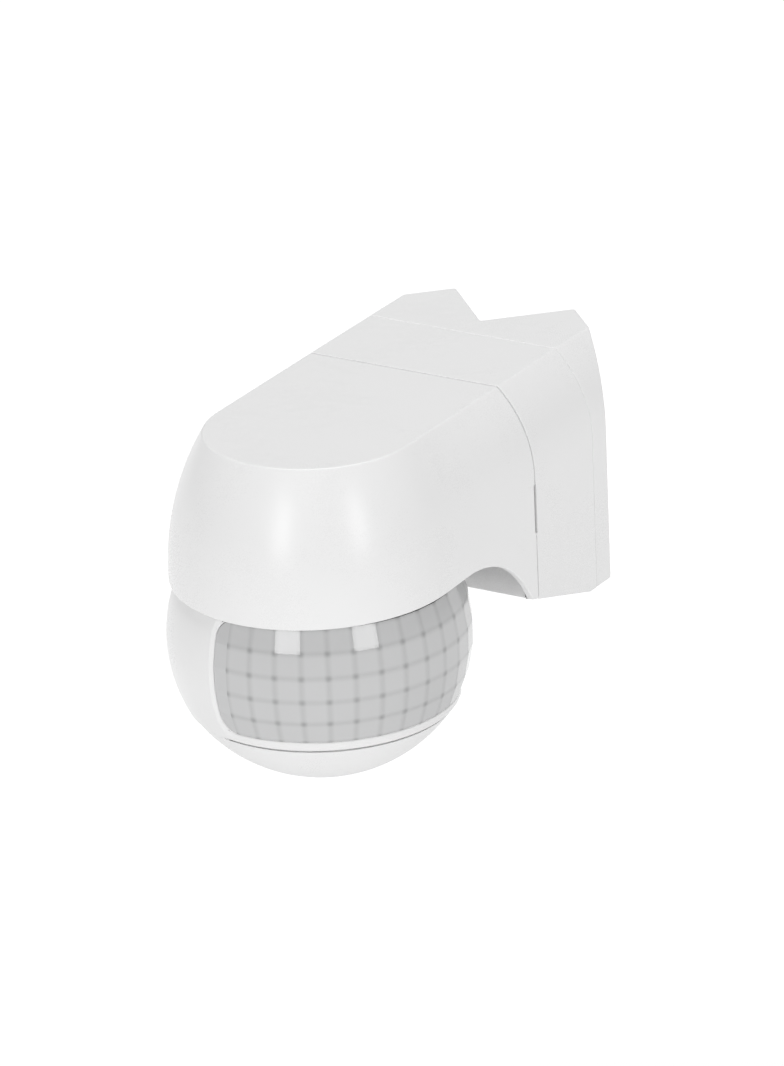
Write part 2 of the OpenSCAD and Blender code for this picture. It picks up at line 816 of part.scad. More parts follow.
module head_screws() {
    color("silver") at_head() for (a = screw_angles) rotate([0, 0, a])
        translate([screw_ring, 0, cap_high - head_seat]) difference() {
            union() {
                translate([0, 0, -1.6]) cylinder(r = 2.1, h = 1.6);
                cylinder(r = 0.98, h = 6.8);
            }
            translate([0, 0, -1.7]) cross_recess(5, 0.6, 1);
        }
}

// Adjusting knob under the head, with a slot and a pointer notch
module knob(angle) {
    at_head() rotate([0, 0, angle]) translate([knob_ring, 0, knob_low]) difference() {
        union() {
            cylinder(r = knob_r, h = knob_h);
            cylinder(r = knob_stem_r, h = adjust_z - trimmer_h + 1.8 - knob_low);
        }
        translate([-2.8, -0.5, -1]) cube([5.6, 1, 2.2]);
        translate([2.4, -0.8, -1]) cube([2, 1.6, 1.6]);
    }
}

module time_knob() {
    color("lightgray") knob(knob_angles[0]);
}

module light_knob() {
    color("lightgray") knob(knob_angles[1]);
}

module range_knob() {
    color("lightgray") knob(knob_angles[2]);
}

corner_bracket();
wall_base();
base_screws();
cable_grommet();
blanking_plug();
seam_gasket();
terminal_block();
terminal_clamps();
terminal_screws();
release_springs();
front_cover();
power_board();
relay();
film_capacitor();
storage_capacitor();
varistor();
plug_pins();
board_screws();
swivel_socket();
socket_screws();
link_ribbon();
swivel_neck();
neck_clip();
friction_ring();
pivot_pins();
head_shell();
fresnel_lens();
lens_retainer();
bottom_cap();
sensor_board();
pyro_sensor();
pyro_window();
light_sensor();
indicator_led();
adjust_board();
trimmers();
head_screws();
time_knob();
light_knob();
range_knob();
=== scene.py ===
"""Motion sensor with a hooded cover and a swivelling ball head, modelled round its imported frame."""
import json
import math
from contextlib import contextmanager

import bmesh
import bpy
from mathutils import Matrix, Vector


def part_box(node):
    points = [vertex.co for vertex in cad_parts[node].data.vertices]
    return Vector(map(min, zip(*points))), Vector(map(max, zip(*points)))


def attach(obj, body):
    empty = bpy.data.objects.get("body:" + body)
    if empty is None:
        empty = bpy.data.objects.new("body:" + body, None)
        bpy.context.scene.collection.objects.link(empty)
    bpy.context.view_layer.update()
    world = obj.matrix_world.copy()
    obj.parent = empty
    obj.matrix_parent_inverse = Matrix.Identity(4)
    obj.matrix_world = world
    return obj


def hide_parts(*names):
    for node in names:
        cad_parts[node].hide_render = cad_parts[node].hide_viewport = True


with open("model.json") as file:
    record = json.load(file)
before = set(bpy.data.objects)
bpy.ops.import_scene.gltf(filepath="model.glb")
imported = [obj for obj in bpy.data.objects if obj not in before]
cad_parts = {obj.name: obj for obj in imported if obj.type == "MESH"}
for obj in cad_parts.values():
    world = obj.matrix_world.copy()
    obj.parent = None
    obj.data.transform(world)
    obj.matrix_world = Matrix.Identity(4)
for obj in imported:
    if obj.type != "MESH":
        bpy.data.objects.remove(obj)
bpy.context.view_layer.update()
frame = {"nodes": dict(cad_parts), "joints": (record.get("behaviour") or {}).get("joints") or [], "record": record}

bl_info = {
    "name": "Motion sensor",
    "version": (1, 0, 0),
    "blender": (4, 5, 0),
    "location": "View3D > Sidebar > Sensor",
    "description": "Models a wall motion sensor piece by piece round its packed frame",
    "category": "Add Mesh",
}

MM = 0.001
TINY = 1e-6
X, Y, Z = Vector((1, 0, 0)), Vector((0, 1, 0)), Vector((0, 0, 1))

# Places and sizes that the frame gives.
HALF_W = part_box("front_cover")[1].x
TOP_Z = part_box("front_cover")[1].z
FRONT_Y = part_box("front_cover")[0].y
BRACKET_LOW_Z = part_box("corner_bracket")[0].z
BRACKET_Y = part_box("corner_bracket")[0].y
BASE_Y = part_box("wall_base")[0].y
JOINTS = {joint["name"]: joint for joint in frame["joints"]}
BALL = Vector(JOINTS["head_pan"]["pos_m"])
BALL_R = round(BALL.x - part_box("head_shell")[0].x, 4)
TILT_AXIS = Vector(JOINTS["head_tilt"]["axis"])
HEAD_TURN = math.atan2(TILT_AXIS.y, TILT_AXIS.x)

# The seam, the tongue round it and the screwdriver slits.
SEAM = 0.2 * MM
SLIT_WIDTH, SLIT_DEPTH = 0.8 * MM, 1.3 * MM
LIP_INSET, LIP_WALL, LIP_LENGTH = 2.1 * MM, 1.2 * MM, 2.4 * MM
GASKET_INSET, GASKET_DEPTH = 0.8 * MM, 0.75 * MM

# Bosses, holes and passages of the bracket and the base.
WALL_BOSS_R, WALL_BOSS_DEPTH, WALL_HOLE_R = 4.75 * MM, 8 * MM, 2.25 * MM
BOSS_R, BOSS_X, BOSS_REACH, BOSS_HEIGHTS = 3 * MM, 17 * MM, 30 * MM, (-15 * MM, 19 * MM)
CORNER_HOLE_Z = -13 * MM
ENTRY_X, ENTRY_Y, ENTRY_R = 14 * MM, -13.5 * MM, 5.5 * MM
BRACKET_PASSAGE = (Vector((-4, -4, 6)) * MM, Vector((4, 5, 18)) * MM)
BASE_PASSAGE = (Vector((-14, -1, 9)) * MM, Vector((-5, 3, 17)) * MM)

# The ball: gaps, the neck's slot, the cap's spigot, screws and knobs.
HAIRLINE, PLAY, HOOD_GAP = 0.1 * MM, 0.05 * MM, 0.2 * MM
NECK_SLOT_R, NECK_SLOT_HALF = 6.6 * MM, 17 * MM
CAP_WALL, SPIGOT_IN, SPIGOT_OUT, SPIGOT_RISE = 2.2 * MM, 21.2 * MM, 23 * MM, 2 * MM
SLIT_FLOOR_R = 25.2 * MM
SCREW_RING, SCREW_TURNS = 21.5 * MM, (90, 40, 140)
SCREW_HOLE_R, SCREW_SEAT_R, SCREW_SEAT = 1.3 * MM, 2.4 * MM, 1.2 * MM
SCREW_BOSS_R, SCREW_ROOM_R = 3.2 * MM, 3.5 * MM
KNOB_RING, KNOB_TURNS, KNOB_HOLE_R = 10 * MM, (90, 210, 330), 4.4 * MM
KNOB_R, KNOB_CAP, KNOB_STEM_R = 4 * MM, 3 * MM, 1.5 * MM

# Edge radii of the smaller mouldings.
HEAD_EDGE, CAP_EDGE, SMALL_EDGE = 0.3 * MM, 0.25 * MM, 0.15 * MM

# How finely the curved shapes are cut, and how the window's border widens towards the skin.
STRAIGHT_STEPS = 12
SHEET_STEP = 2.5 * MM
FLARE_CURVE = ((0.12, 0.22), (0.22, 0.26), (0.30, 0.28), (0.36, 0.24))


def length(name, description, millimetres):
    """A length property whose default is given in millimetres."""
    return bpy.props.FloatProperty(name=name, description=description, default=millimetres * MM,
                                   min=0.0, unit="LENGTH", precision=5)


def angle(name, description, degrees):
    """An angle property whose default is given in degrees."""
    return bpy.props.FloatProperty(name=name, description=description, default=math.radians(degrees),
                                   subtype="ANGLE")


def colour(name, description, rgb):
    """A colour property."""
    return bpy.props.FloatVectorProperty(name=name, description=description, default=rgb, size=3,
                                         min=0.0, max=1.0, subtype="COLOR")


class HousingSizes(bpy.types.PropertyGroup):
    """Sizes of the bracket, the base and the cover."""

    top_width: length("Top width", "Width of the flat top face", 42.4)
    shoulder: length("Shoulder height", "Height over which the shoulder curves down to the side", 17.5)
    nose_shoulder: length("Nose shoulder height", "The same height, round the hood's nose", 28.0)
    wall: length("Cover wall", "Wall of the hooded cover", 1.6)
    base_wall: length("Base wall", "Wall of the bracket and of the base", 2.0)
    top_wall: length("Top wall", "Top plate of every housing piece", 2.2)
    rim_drop: length("Rim drop", "Hood's rim below the top face, at the very front", 30.2)
    arch_drop: length("Arch drop", "Hood's rim below the top face, where the arch starts", 28.9)
    arch_radius: length("Arch radius", "Radius of the arch in the cover's lower edge", 26.0)
    bend: length("Bend depth", "Wall plane to the bend in the base's floor", 22.9)
    bulkhead: length("Bulkhead depth", "Wall plane to the front face of the cover's bulkhead", 45.3)
    front_height: length("Front height", "Height of the block's front face, at the foot of the arch", 42.7)
    notch: length("Notch depth", "Depth of the corner notch", 13.4)
    tip: length("Tip width", "Width of the flat at each rear tip", 0.6)
    edge: length("Edge radius", "Softness of the moulded edges", 0.35)
    slit: length("Slit length", "Length of the screwdriver slit on each side of the seam", 10.0)
    slit_drop: length("Slit drop", "Top of the slit below the top face", 19.3)


class HeadSizes(bpy.types.PropertyGroup):
    """Sizes of the ball head and its lens."""

    wall: length("Shell wall", "Wall of the ball's shell", 2.4)
    window_half: angle("Window half width", "Half of the lens window's width", 77.8)
    window_low: angle("Window lower edge", "Lower edge of the lens window", -24.5)
    window_high: angle("Window upper edge", "Upper edge of the lens window", 23.0)
    window_corner: angle("Window corner", "Rounding of the window's corners", 7.0)
    window_flare: angle("Window flare", "How much wider the window is at the ball's skin", 3.4)
    lens_sink: length("Lens recess", "Depth of the lens below the ball's skin", 0.35)
    lens_play: angle("Lens play", "Gap between the lens and the window's edge", 0.25)
    rim_sink: length("Rim recess", "Depth of the lens's hidden rim below the ball's skin", 1.1)
    rim_reach: angle("Rim reach", "How far the lens's rim goes behind the shell", 2.5)
    lens_wall: length("Lens wall", "Thickness of the lens", 0.8)
    columns: bpy.props.IntProperty(name="Lens columns", description="Facets across the lens", default=14)
    rows: bpy.props.IntProperty(name="Lens rows", description="Facets up the lens", default=5)
    column_pitch: angle("Column pitch", "Width of one facet", 10.2)
    # Share of a facet's width that the painted shade along each lens groove covers; it changes no shape.
    groove: bpy.props.FloatProperty(name="Groove width", description="Groove's share of a facet's width",
                                    default=0.2, min=0.0, max=0.5)
    slit_drop: length("Slit drop", "Slit between shell and cap below the ball's centre", 14.5)
    slit_gap: length("Slit height", "Height of the slit below the lens", 0.5)
    cap_edge: length("Cap edge radius", "Radius of the cap's upper edge", 26.0)
    cap_drop: length("Cap drop", "Lowest point of the cap below the ball's centre", 28.5)


class FinishColours(bpy.types.PropertyGroup):
    """Colours of the mouldings."""

    housing: colour("Housing", "White of the housing", (0.86, 0.86, 0.86))
    head: colour("Head", "White of the ball head", (0.85, 0.85, 0.85))
    lens: colour("Lens", "Milky white of the lens", (0.575, 0.577, 0.58))
    inner: colour("Inner mouldings", "Grey of the hidden mouldings", (0.62, 0.63, 0.64))
    knob: colour("Knobs", "Pale grey of the adjusting knobs", (0.70, 0.70, 0.69))
    fitting: colour("Floor fittings", "Grey of the rubber cable fitting and its twin", (0.30, 0.30, 0.30))


# ---------------------------------------------------------------- working on a mesh

def deselect():
    """Leaves nothing selected."""
    bpy.ops.object.select_all(action="DESELECT")


def activate(piece):
    """Selects one piece and makes it the active one."""
    deselect()
    piece.select_set(True)
    bpy.context.view_layer.objects.active = piece


def fresh(name):
    """Names the primitive that was just added and puts its place into its mesh."""
    piece = bpy.context.active_object
    piece.name = piece.data.name = name
    bpy.ops.object.transform_apply(location=True, rotation=True, scale=True)
    return piece


@contextmanager
def editing(piece):
    """Edit mode on one piece."""
    activate(piece)
    bpy.ops.object.mode_set(mode="EDIT")
    bpy.ops.mesh.select_mode(type="VERT")
    bpy.ops.mesh.select_all(action="SELECT")
    yield
    bpy.ops.object.mode_set(mode="OBJECT")


def middle(item):
    """Middle of a vertex, an edge or a face."""
    if isinstance(item, bmesh.types.BMVert):
        return item.co
    if isinstance(item, bmesh.types.BMEdge):
        return (item.verts[0].co + item.verts[1].co) / 2
    return item.calc_center_median()


def pick(piece, kind, test):
    """Selects only the vertices, edges or faces that pass a test."""
    bpy.ops.mesh.select_mode(type=kind)
    bpy.ops.mesh.select_all(action="DESELECT")
    shape = bmesh.from_edit_mesh(piece.data)
    items = {"VERT": shape.verts, "EDGE": shape.edges, "FACE": shape.faces}[kind]
    for item in items:
        if test(item):
            item.select_set(True)
    bmesh.update_edit_mesh(piece.data)


def pull(vector):
    """Extrudes what is selected by a vector."""
    bpy.ops.mesh.extrude_region_move(TRANSFORM_OT_translate={"value": vector})


def slice_off(point, outward, fill=True):
    """Cuts everything along a plane and removes the side that outward points to."""
    bpy.ops.mesh.select_all(action="SELECT")
    bpy.ops.mesh.bisect(plane_co=point, plane_no=outward, use_fill=fill, clear_outer=True)


def close_up():
    """Merges doubles and turns every face outwards."""
    bpy.ops.mesh.select_all(action="SELECT")
    bpy.ops.mesh.remove_doubles(threshold=2 * TINY)
    bpy.ops.mesh.normals_make_consistent(inside=False)


def add_box(name, low, high):
    """A box between two corners, as a start or a cutter."""
    low, high = Vector(low), Vector(high)
    deselect()
    bpy.ops.mesh.primitive_cube_add(size=1, location=(low + high) / 2, scale=high - low)
    return fresh(name)


def add_rod(name, start, end, radius, sides=64):
    """A round bar between two points, as a start or a cutter."""
    start, end = Vector(start), Vector(end)
    along = end - start
    deselect()
    bpy.ops.mesh.primitive_cylinder_add(vertices=sides, radius=radius, depth=along.length,
                                        location=(start + end) / 2,
                                        rotation=along.to_track_quat("Z", "Y").to_euler())
    return fresh(name)


def apply_modifier(piece, kind, **settings):
    """Adds one modifier and applies it."""
    activate(piece)
    modifier = piece.modifiers.new(kind.title(), kind)
    for key, value in settings.items():
        setattr(modifier, key, value)
    bpy.ops.object.modifier_apply(modifier=modifier.name)


def combine(piece, other, operation="DIFFERENCE"):
    """Cuts another solid away from a piece, or joins the two, and uses the other one up."""
    apply_modifier(piece, "BOOLEAN", operation=operation, object=other, solver="EXACT")
    bpy.data.objects.remove(other)


def soften(piece, width, segments=3, limit=32):
    """Rounds a piece's edges and shades it smooth between them."""
    with editing(piece):
        bpy.ops.mesh.select_all(action="SELECT")
        bpy.ops.mesh.remove_doubles(threshold=2 * TINY)
        bpy.ops.mesh.dissolve_limited(angle_limit=math.radians(0.05))
    apply_modifier(piece, "BEVEL", width=width, segments=segments, limit_method="ANGLE",
                   angle_limit=math.radians(limit), use_clamp_overlap=False, miter_outer="MITER_ARC",
                   loop_slide=False)
    shade(piece)


def shade(piece, limit=38):
    """Smooth shading that keeps true edges sharp."""
    activate(piece)
    bpy.ops.object.shade_smooth_by_angle(angle=math.radians(limit))
    apply_modifier(piece, "WEIGHTED_NORMAL", keep_sharp=True, weight=60)


def settle(piece, body, slot, finish, *nodes):
    """Gives a finished piece its material, its body and the CAD nodes that it stands for."""
    piece.data.materials.clear()
    piece.data.materials.append(finish)
    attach(piece, body)
    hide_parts(*nodes)


# ---------------------------------------------------------------- housing outline

def outline_x(depth, shoulder, inset, sizes):
    """Half width of the housing at a depth below its top face, moved in by a wall."""
    bulge = HALF_W - sizes.top_width / 2
    radius = (bulge ** 2 + shoulder ** 2) / (2 * bulge)
    if depth >= shoulder:
        return HALF_W - inset
    return HALF_W - radius + math.sqrt((radius - inset) ** 2 - (shoulder - depth) ** 2)


def housing_block(name, sizes, inset=0.0, top_inset=0.0, low_z=BRACKET_LOW_Z, rear_y=0.0, front_y=None,
                  shoulder=None):
    """Closed solid in the housing's outline, moved in by a wall: round at the front, or cut flat."""
    nose = shoulder or sizes.shoulder
    bulge = HALF_W - sizes.top_width / 2
    radius = (bulge ** 2 + nose ** 2) / (2 * bulge)
    foot_z = TOP_Z - nose
    rise = math.asin((nose - top_inset) / (radius - inset))
    top_x = outline_x(top_inset, nose, inset, sizes)
    side_x = HALF_W - inset
    straight = BALL.y - rear_y
    deselect()
    bpy.ops.mesh.primitive_plane_add(size=MM, location=(side_x, BALL.y, foot_z))
    block = fresh(name)
    with editing(block):
        bpy.ops.mesh.merge(type="CENTER")
        bpy.ops.mesh.spin(steps=20, angle=rise, center=(HALF_W - radius, BALL.y, foot_z), axis=(0, 1, 0))
        pick(block, "VERT", lambda v: v.co.z > TOP_Z - top_inset - 10 * TINY)
        pull((-top_x, 0, 0))
        pick(block, "VERT", lambda v: v.co.z < foot_z + TINY)
        pull((0, 0, low_z - foot_z))
        pull((-side_x, 0, 0))
        bpy.ops.mesh.select_all(action="SELECT")
        bpy.ops.mesh.spin(steps=96, angle=math.pi, center=(0, BALL.y, 0), axis=(0, 0, 1))
        bpy.ops.mesh.select_all(action="SELECT")
        bpy.ops.mesh.remove_doubles(threshold=2 * TINY)
        pick(block, "EDGE", lambda e: all(abs(v.co.y - BALL.y) < TINY for v in e.verts))
        for _ in range(STRAIGHT_STEPS):
            pull((0, -straight / STRAIGHT_STEPS, 0))
        pick(block, "EDGE", lambda e: all(abs(v.co.y - rear_y) < TINY for v in e.verts))
        bpy.ops.mesh.edge_face_add()
        close_up()
    narrow_to_nose(block, sizes, nose, inset)
    if front_y is not None:
        with editing(block):
            slice_off((0, front_y, 0), (0, -1, 0))
    return block


def narrow_to_nose(block, sizes, nose, inset):
    """Leads the nose's rounder shoulder smoothly back into the one at the seam."""
    if nose == sizes.shoulder:
        return
    for vertex in block.data.vertices:
        depth = TOP_Z - vertex.co.z
        if vertex.co.y < BALL.y + TINY or abs(vertex.co.x) < TINY or depth >= nose:
            continue
        share = min(1.0, (vertex.co.y - BALL.y) / (BASE_Y - BALL.y))
        share = share * share * (3 - 2 * share)
        ends = [outline_x(depth, shoulder, inset, sizes) for shoulder in (nose, sizes.shoulder)]
        vertex.co.x = math.copysign(ends[0] + share * (ends[1] - ends[0]), vertex.co.x)


def under_floor(name, sizes, lift=0.0):
    """Cutter for everything under the block's sloping floor."""
    bend_y, front_z = -sizes.bend, TOP_Z - sizes.front_height
    slope = (front_z - BRACKET_LOW_Z) / (bend_y + sizes.bulkhead)
    run = sizes.bulkhead + 20 * MM + bend_y
    cutter = add_box(name, (-2 * HALF_W, bend_y - run, BRACKET_LOW_Z - 90 * MM),
                     (2 * HALF_W, bend_y, BRACKET_LOW_Z + lift))
    with editing(cutter):
        pick(cutter, "VERT", lambda v: v.co.y < bend_y - TINY and v.co.z > BRACKET_LOW_Z - TINY)
        bpy.ops.transform.translate(value=(0, 0, slope * run))
        if lift:
            pick(cutter, "FACE", lambda f: f.normal.y > 0.9)
            pull((0, 3 * sizes.bend, 0))
    return cutter


def side_slit(name, sizes, side):
    """Cutter for the screwdriver slit on one side of the seam."""
    seam_y = BASE_Y - SEAM / 2
    top = TOP_Z - sizes.slit_drop
    return add_box(name, (side * HALF_W - SLIT_DEPTH, seam_y - SLIT_WIDTH / 2, top - sizes.slit),
                   (side * HALF_W + SLIT_DEPTH, seam_y + SLIT_WIDTH / 2, top))


# ---------------------------------------------------------------- finishes

class Wire:
    """A value on its way through a material. Arithmetic on it adds Math nodes."""

    def __init__(self, finish, socket):
        self.finish, self.socket = finish, socket

    def math(self, operation, *values):
        return self.finish.node("ShaderNodeMath", {"operation": operation}, dict(enumerate(values)))

    def __add__(self, other):
        return self.math("ADD", self, other)

    __radd__ = __add__

    def __sub__(self, other):
        return self.math("SUBTRACT", self, other)

    def __rsub__(self, other):
        return self.math("SUBTRACT", other, self)

    def __mul__(self, other):
        return self.math("MULTIPLY", self, other)

    __rmul__ = __mul__


class Finish:
    """A material that is put together node by node."""

    def __init__(self, name):
        self.material = bpy.data.materials.new(name)
        self.material.use_nodes = True
        self.tree = self.material.node_tree
        self.tree.nodes.clear()

    def node(self, kind, settings=None, values=None, out=0):
        """Adds one node with its settings and the values or wires of its inputs."""
        node = self.tree.nodes.new(kind)
        for key, value in (settings or {}).items():
            setattr(node, key, value)
        for key, value in (values or {}).items():
            if isinstance(value, Wire):
                self.tree.links.new(value.socket, node.inputs[key])
            elif isinstance(value, (tuple, list)) and len(value) == 3 and node.inputs[key].type == "RGBA":
                node.inputs[key].default_value = (*value, 1.0)
            else:
                node.inputs[key].default_value = value
        return Wire(self, node.outputs[out]) if node.outputs else None

    def place(self):
        """Coordinates of the piece itself."""
        return self.node("ShaderNodeTexCoord", out=3)

    def noise(self, scale, detail=3.0, place=None, roughness=0.5):
        """A cloudy pattern from 0 to 1, with scale in features per metre."""
        return self.node("ShaderNodeTexNoise", values={"Vector": place or self.place(), "Scale": scale,
                                                       "Detail": detail, "Roughness": roughness})

    def bands(self, axis, scale):
        """Even bands across one axis, from 0 to 1."""
        return self.node("ShaderNodeTexWave", {"bands_direction": axis},
                         {"Vector": self.place(), "Scale": scale}, out=1)

    def mix(self, factor, first, second):
        """Blend of two colours."""
        return self.node("ShaderNodeMix", {"data_type": "RGBA"}, {0: factor, 6: first, 7: second}, out=2)

    def ramp(self, value, start, end):
        """Rises smoothly from 0 at start to 1 at end."""
        return self.node("ShaderNodeMapRange", {"interpolation_type": "SMOOTHSTEP"},
                         {"Value": value, "From Min": start, "From Max": end})

    def bump(self, height, distance, strength=1.0):
        """Normals raised by a height pattern."""
        return self.node("ShaderNodeBump", values={"Height": height, "Distance": distance,
                                                   "Strength": strength})

    def shader(self, **values):
        """Ends the material in one Principled shader."""
        named = {key.replace("_", " "): value for key, value in values.items()}
        shader = self.node("ShaderNodeBsdfPrincipled", values=named)
        self.node("ShaderNodeOutputMaterial", values={"Surface": shader})
        return self.material


def scaled(rgb, factor):
    """A colour made lighter or darker."""
    return tuple(min(1.0, channel * factor) for channel in rgb)


def moulded_plastic(name, rgb, roughness):
    """Injection-moulded plastic with a fine satin grain and faint flow clouds."""
    finish = Finish(name)
    clouds = finish.noise(45, detail=4)
    fine = finish.noise(5200, detail=2)
    base = finish.mix(clouds, scaled(rgb, 0.985), scaled(rgb, 1.015))
    gloss = roughness + (clouds - 0.5) * 0.10 + (fine - 0.5) * 0.06
    raised = finish.bump(fine, 0.006 * MM, strength=0.35)
    return finish.shader(Base_Color=base, Roughness=gloss, Normal=raised, IOR=1.49)


def milky_lens(name, rgb, sizes):
    """Milky lens plastic, with painted shade along the grooves between its facets, darkest where they cross."""
    finish = Finish(name)
    cell = finish.node("ShaderNodeAttribute",
                       {"attribute_name": "cell", "attribute_type": "GEOMETRY"}, out=1)
    parts = [finish.node("ShaderNodeSeparateXYZ", values={"Vector": cell}, out=axis) for axis in (0, 1)]
    spans = ((-sizes.columns / 2, sizes.columns / 2), (0, sizes.rows))
    inside, near = [], []
    for part, (low, high) in zip(parts, spans):
        off = part.math("FRACT", part) - 0.5
        off = off.math("ABSOLUTE", off)
        near.append(finish.ramp(off, 0.5 - sizes.groove, 0.5))
        inside.append(finish.ramp(part, low - 0.02, low) * finish.ramp(part, high + 0.02, high))
    field = inside[0] * inside[1]
    # Painted shade: the colour darkens towards a dark grey along the grooves between the facets, most where two
    # grooves cross.
    painted_groove_shade = field * (near[0] * 0.22 + near[1] * 0.22 + near[0] * near[1] * 0.40)
    clouds = finish.noise(160, detail=3)
    rings = finish.noise(2600, detail=1)
    body = finish.mix(clouds, scaled(rgb, 0.985), scaled(rgb, 1.015))
    # The lens colour with the painted groove shade mixed in.
    shaded_lens_colour = finish.mix(painted_groove_shade, body, scaled(rgb, 0.55))
    raised = finish.bump(rings, 0.01 * MM, strength=0.25)
    return finish.shader(Base_Color=shaded_lens_colour, Roughness=0.10 + clouds * 0.04, Normal=raised, IOR=1.5)


def rubber(name, rgb):
    """Dull soft rubber with a dusty bloom."""
    finish = Finish(name)
    bloom = finish.noise(380, detail=5)
    fine = finish.noise(4200, detail=2)
    base = finish.mix(bloom, scaled(rgb, 0.9), scaled(rgb, 1.35))
    return finish.shader(Base_Color=base, Roughness=0.62 + bloom * 0.2,
                         Normal=finish.bump(fine, 0.012 * MM, strength=0.5), IOR=1.5)


def plated_metal(name, rgb, roughness, tarnish):
    """Plated or machined metal with fine drawn marks and cloudy tarnish."""
    finish = Finish(name)
    stretched = finish.node("ShaderNodeMapping",
                            values={"Vector": finish.place(), "Scale": (1.0, 1.0, 9.0)})
    marks = finish.noise(1900, detail=3, place=stretched)
    clouds = finish.noise(420, detail=4)
    base = finish.mix(clouds, rgb, scaled(rgb, tarnish))
    return finish.shader(Base_Color=base, Metallic=1.0, Roughness=roughness + clouds * 0.12 + marks * 0.06,
                         Normal=finish.bump(marks, 0.008 * MM, strength=0.4))


def lacquered_board(name, rgb):
    """Circuit board: green lacquer over a woven base with faint copper tracks under it."""
    finish = Finish(name)
    weave = [finish.bands(axis, 420.0) for axis in "XZ"]
    tracks = finish.node("ShaderNodeTexVoronoi", {"distance": "MANHATTAN"},
                         {"Vector": finish.place(), "Scale": 300.0})
    copper = finish.ramp(tracks, 0.34, 0.30)
    lacquer = finish.mix(weave[0] * weave[1], rgb, scaled(rgb, 1.25))
    base = finish.mix(copper * 0.6, lacquer, (rgb[0] * 2.2, rgb[1] * 1.5, rgb[2] * 1.2))
    return finish.shader(Base_Color=base, Roughness=0.28 + weave[0] * 0.06, Coat_Weight=0.4,
                         Normal=finish.bump(copper, 0.03 * MM, strength=0.5), IOR=1.5)


def gloss_case(name, rgb, roughness=0.2):
    """Glossy moulded or dipped case, slightly uneven like a coat of resin."""
    finish = Finish(name)
    waves = finish.noise(240, detail=2)
    base = finish.mix(waves, scaled(rgb, 0.92), scaled(rgb, 1.1))
    return finish.shader(Base_Color=base, Roughness=roughness + waves * 0.1, Coat_Weight=0.3,
                         Normal=finish.bump(waves, 0.05 * MM, strength=0.5), IOR=1.5)


def ribbed_ribbon(name, rgb):
    """Flat cable, ribbed along its wires, with painted shade darkening the grooves between the ribs."""
    finish = Finish(name)
    ribs = finish.bands("X", 160.0)
    # Painted shade: the colour is darkest where the ribs' bump is lowest, in the grooves between them.
    base = finish.mix(ribs, scaled(rgb, 0.72), rgb)
    return finish.shader(Base_Color=base, Roughness=0.4 + ribs * 0.08,
                         Normal=finish.bump(ribs, 0.15 * MM, strength=0.7), IOR=1.5)


# ---------------------------------------------------------------- the ball's curved sheets

def wrap_round_ball(piece):
    """Bends a flat-laid shape round the ball: 1 mm across or up is 1 degree, and height is radius."""
    for vertex in piece.data.vertices:
        turn, rise = math.radians(vertex.co.x / MM), math.radians(vertex.co.y / MM)
        out = vertex.co.z * math.cos(rise)
        vertex.co = (out * math.sin(turn), -out * math.cos(turn), vertex.co.z * math.sin(rise))


def as_degrees(radians):
    """An angle as a length on the flat-laid sheet."""
    return math.degrees(radians) * MM


def mount_on_head(piece):
    """Turns a piece from the ball's own frame, lens to the front, to where the head stands."""
    piece.rotation_euler.z = HEAD_TURN
    piece.location = BALL
    activate(piece)
    bpy.ops.object.transform_apply(location=True, rotation=True, scale=True)


def curved_block(name, half, low, high, inner, outer, corner=0.0, flare=0.0, face=None):
    """Solid patch of a ball's skin, in degrees across and up; flare widens it above the radius face."""
    middle_up = (low + high) / 2
    width, height = 2 * half, high - low
    deselect()
    bpy.ops.mesh.primitive_plane_add(size=1, location=(0, middle_up, inner))
    block = fresh(name)
    with editing(block):
        bpy.ops.transform.resize(value=(width, height, 1), center_override=(0, middle_up, inner))
        if corner:
            bpy.ops.mesh.bevel(affect="VERTICES", offset=corner, segments=8, offset_type="OFFSET")
            bpy.ops.mesh.select_all(action="SELECT")
        if flare:
            pull((0, 0, face - inner))
            for rise, share in FLARE_CURVE:
                pull((0, 0, rise * (outer - face)))
                wide = 2 * flare * share
                bpy.ops.transform.resize(value=(1 + wide / width, 1 + wide / height, 1),
                                         center_override=(0, middle_up, outer))
                width, height = width + wide, height + wide
        else:
            pull((0, 0, outer - inner))
        for axis, reach in ((0, half + flare), (1, (high - low) / 2 + flare)):
            for step in range(-int(reach / SHEET_STEP), int(reach / SHEET_STEP) + 1):
                cut, normal = [0, middle_up, 0], [0, 0, 0]
                cut[axis] += step * SHEET_STEP
                normal[axis] = 1
                bpy.ops.mesh.select_all(action="SELECT")
                bpy.ops.mesh.bisect(plane_co=cut, plane_no=normal)
        close_up()
    wrap_round_ball(block)
    return block


def window_cutter(sizes, play=0.0, flare=0.0):
    """Solid in the outline of the lens window, with round corners."""
    return curved_block("window", as_degrees(sizes.window_half - play), as_degrees(sizes.window_low + play),
                        as_degrees(sizes.window_high - play), BALL_R - sizes.wall - 2 * MM,
                        BALL_R + 0.6 * MM, corner=as_degrees(sizes.window_corner), flare=as_degrees(flare),
                        face=BALL_R - sizes.lens_sink)


def rim_block(name, sizes, play, inner, outer):
    """Patch that the lens's hidden rim fills, or the space for it behind the shell."""
    reach = as_degrees(sizes.rim_reach + play)
    return curved_block(name, as_degrees(sizes.window_half) + reach,
                        as_degrees(sizes.window_low) - 2 * reach,
                        as_degrees(sizes.window_high) + reach, inner, outer)


